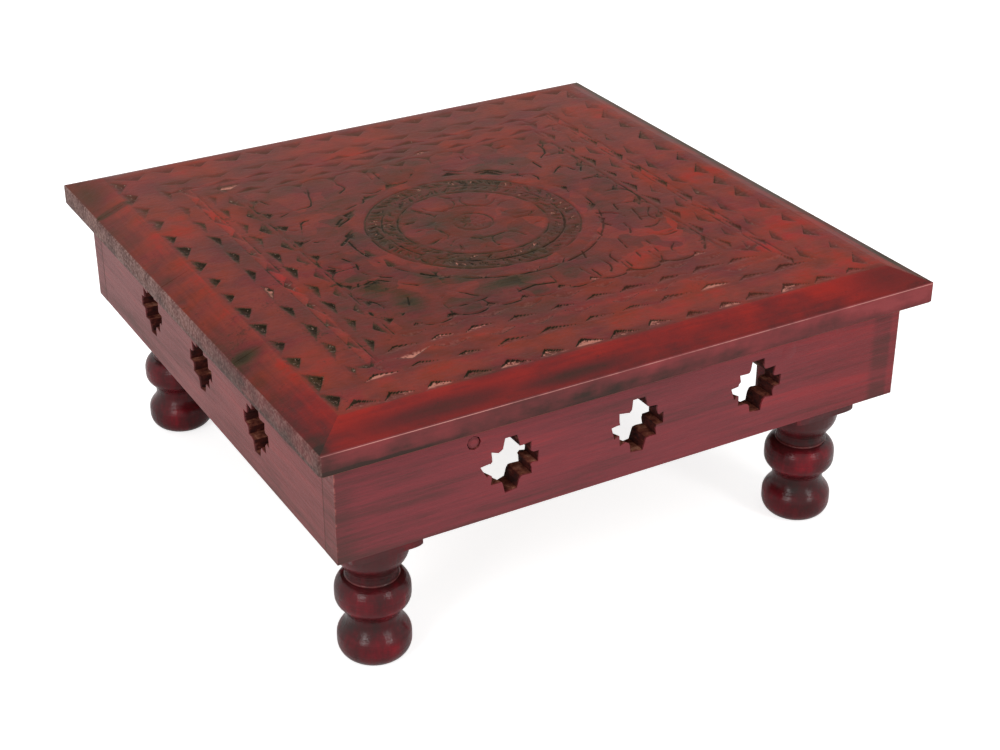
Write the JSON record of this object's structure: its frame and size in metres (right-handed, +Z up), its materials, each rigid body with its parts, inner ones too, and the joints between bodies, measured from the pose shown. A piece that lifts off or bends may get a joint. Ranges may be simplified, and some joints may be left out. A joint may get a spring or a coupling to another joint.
{
  "type": "low table",
  "caption": "Low square carved wooden table (bajot) with a chip-carved board top, pierced aprons and turned corner legs.",
  "frame": {"origin": "on the floor under the middle of the square top", "axes": "+Z up, +X along the front apron to the right as seen from the front, +Y from the front to the back"},
  "size_m": [0.38, 0.38, 0.1691],
  "materials": {
    "top_paint": "worn red paint with dark patina in the carving, satin",
    "apron_paint": "maroon paint with dark grain streaks, satin",
    "leg_paint": "dark maroon paint, polished on the lathe",
    "plug_paint": "maroon paint over end grain, satin",
    "bare_wood": "planed bare wood",
    "steel": "plain drawn steel"
  },
  "bodies": {
    "root": {"top_board_front": "top_paint", "top_board_middle_front": "top_paint", "top_board_middle_back": "top_paint", "top_board_back": "top_paint", "apron_front": "apron_paint", "apron_back": "apron_paint", "apron_left": "apron_paint", "apron_right": "apron_paint", "leg_front_left": "leg_paint", "leg_front_right": "leg_paint", "leg_back_left": "leg_paint", "leg_back_right": "leg_paint", "batten_left": "bare_wood", "batten_right": "bare_wood", "plug_front_left": "plug_paint", "plug_front_right": "plug_paint", "plug_back_left": "plug_paint", "plug_back_right": "plug_paint", "board_screw_left_1": "steel", "board_screw_left_2": "steel", "board_screw_left_3": "steel", "board_screw_left_4": "steel", "board_screw_right_1": "steel", "board_screw_right_2": "steel", "board_screw_right_3": "steel", "board_screw_right_4": "steel", "batten_end_screw_front_left": "steel", "batten_end_screw_front_right": "steel", "batten_end_screw_back_left": "steel", "batten_end_screw_back_right": "steel", "apron_nail_long_front_left": "steel", "apron_nail_long_front_right": "steel", "apron_nail_long_back_left": "steel", "apron_nail_long_back_right": "steel", "apron_nail_side_front_left": "steel", "apron_nail_side_front_right": "steel", "apron_nail_side_back_left": "steel", "apron_nail_side_back_right": "steel"}
  },
  "joints": []
}
